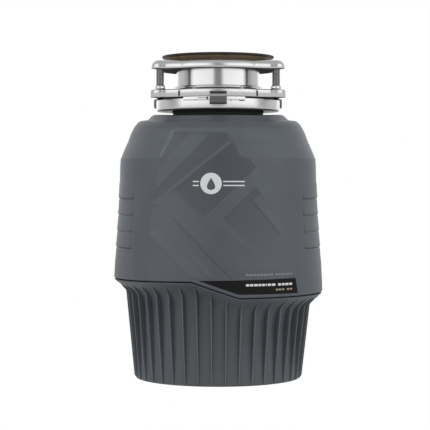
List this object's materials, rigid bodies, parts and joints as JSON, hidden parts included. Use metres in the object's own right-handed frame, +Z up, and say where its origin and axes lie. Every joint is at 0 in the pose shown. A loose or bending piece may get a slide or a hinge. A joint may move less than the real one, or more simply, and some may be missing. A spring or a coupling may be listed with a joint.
{
  "type": "garbage disposal",
  "caption": "Under-sink food waste disposal: grey two-part casing with a ribbed base, plated three-screw sink mount, grinding chamber, motor, drain elbow.",
  "frame": {"origin": "centre of the base's foot rim, on the surface it stands on", "axes": "+Z up along the motor's axis, front faces -Y, +X to the right seen from the front"},
  "size_m": [0.2122, 0.2876, 0.3275],
  "materials": {
    "stainless": "bright brushed",
    "plated_steel": "bright plated",
    "spring_steel": "ground",
    "cast_aluminium": "cast",
    "cast_frame": "cast and painted",
    "lamination": "stacked steel",
    "copper": "varnished wire",
    "bronze": "sintered",
    "black_rubber": "matt",
    "black_plastic": "matt",
    "housing_plastic": "matt, glass filled",
    "ivory_plastic": "matt",
    "red_plastic": "gloss",
    "lead_insulation": "satin",
    "green_screw": "plated",
    "painted_cover": "satin",
    "blanket": "felted",
    "foam": "expanded foam",
    "casing_grey": "fine satin texture, blue grey",
    "base_grey": "satin, dark grey",
    "label_black": "satin print",
    "badge_light": "satin print"
  },
  "bodies": {
    "housing": {"sink_flange": "stainless", "sink_gasket": "black_rubber", "backup_flange": "plated_steel", "upper_mount_ring": "plated_steel", "snap_ring": "spring_steel", "mount_gasket": "black_rubber", "neck_boot": "black_rubber", "grind_chamber": "stainless", "dishwasher_inlet": "black_plastic", "inlet_plug": "black_plastic", "drain_housing": "housing_plastic", "chamber_gasket": "black_rubber", "grind_ring": "stainless", "shaft_seal": "black_rubber", "upper_bearing": "bronze", "upper_end_frame": "cast_frame", "stator_core": "lamination", "upper_windings": "copper", "lower_windings": "copper", "lower_bearing": "bronze", "lower_end_frame": "cast_frame", "through_bolts": "plated_steel", "start_switch": "black_plastic", "start_capacitor": "black_plastic", "overload_protector": "black_plastic", "terminal_box": "plated_steel", "supply_leads": "lead_insulation", "ground_screw": "green_screw", "bottom_cover": "painted_cover", "cover_screws": "plated_steel", "wiring_cover": "painted_cover", "motor_blanket": "blanket", "insulation_left": "foam", "insulation_right": "foam", "upper_shell": "casing_grey", "base_shell": "base_grey", "front_label": "label_black", "badge": "badge_light", "tailpipe_mount": "black_rubber", "hose_clamps": "plated_steel", "discharge_elbow": "black_plastic"},
    "lock_ring": {"lock_ring": "plated_steel"},
    "screw_a": {"mount_screw_a": "plated_steel"},
    "screw_b": {"mount_screw_b": "plated_steel"},
    "screw_c": {"mount_screw_c": "plated_steel"},
    "baffle": {"splash_baffle": "black_rubber"},
    "rotor": {"motor_shaft": "spring_steel", "turntable": "stainless", "undercutter": "stainless", "lug_rivets": "stainless", "turntable_nut": "stainless", "water_slinger": "black_plastic", "rotor_core": "lamination", "rotor_end_rings": "cast_aluminium", "thrust_washer": "spring_steel"},
    "lug_a": {"impeller_lug_a": "stainless"},
    "lug_b": {"impeller_lug_b": "stainless"},
    "governor": {"governor_collar": "ivory_plastic"},
    "reset": {"reset_button": "red_plastic"}
  },
  "joints": [
    {"name": "lock_ring_turn", "type": "hinge", "parent": "housing", "child": "lock_ring", "pos_m": [0, 0, 0.278], "axis": [0, 0, 1], "range_deg": [0, 28]},
    {"name": "screw_a_turn", "type": "hinge", "parent": "housing", "child": "screw_a", "pos_m": [-0.05802, -0.0335, 0.3], "axis": [0, 0, 1], "continuous": true},
    {"name": "screw_b_turn", "type": "hinge", "parent": "housing", "child": "screw_b", "pos_m": [0.05802, -0.0335, 0.3], "axis": [0, 0, 1], "continuous": true},
    {"name": "screw_c_turn", "type": "hinge", "parent": "housing", "child": "screw_c", "pos_m": [0, 0.067, 0.3], "axis": [0, 0, 1], "continuous": true},
    {"name": "baffle_lift", "type": "slide", "parent": "housing", "child": "baffle", "axis": [0, 0, 1], "range_m": [0, 0.08]},
    {"name": "motor_spin", "type": "hinge", "parent": "housing", "child": "rotor", "pos_m": [0, 0, 0.1], "axis": [0, 0, 1], "continuous": true},
    {"name": "lug_a_swivel", "type": "hinge", "parent": "rotor", "child": "lug_a", "pos_m": [0.046, 0, 0.178], "axis": [0, 0, 1], "continuous": true},
    {"name": "lug_b_swivel", "type": "hinge", "parent": "rotor", "child": "lug_b", "pos_m": [-0.046, 0, 0.178], "axis": [0, 0, 1], "continuous": true},
    {"name": "governor_slide", "type": "slide", "parent": "rotor", "child": "governor", "axis": [0, 0, -1], "range_m": [0, 0.003], "stiffness_N_per_m": 200, "springref_m": -0.002},
    {"name": "reset_push", "type": "slide", "parent": "housing", "child": "reset", "axis": [0, 0, 1], "range_m": [0, 0.003], "stiffness_N_per_m": 400, "springref_m": -0.001}
  ]
}
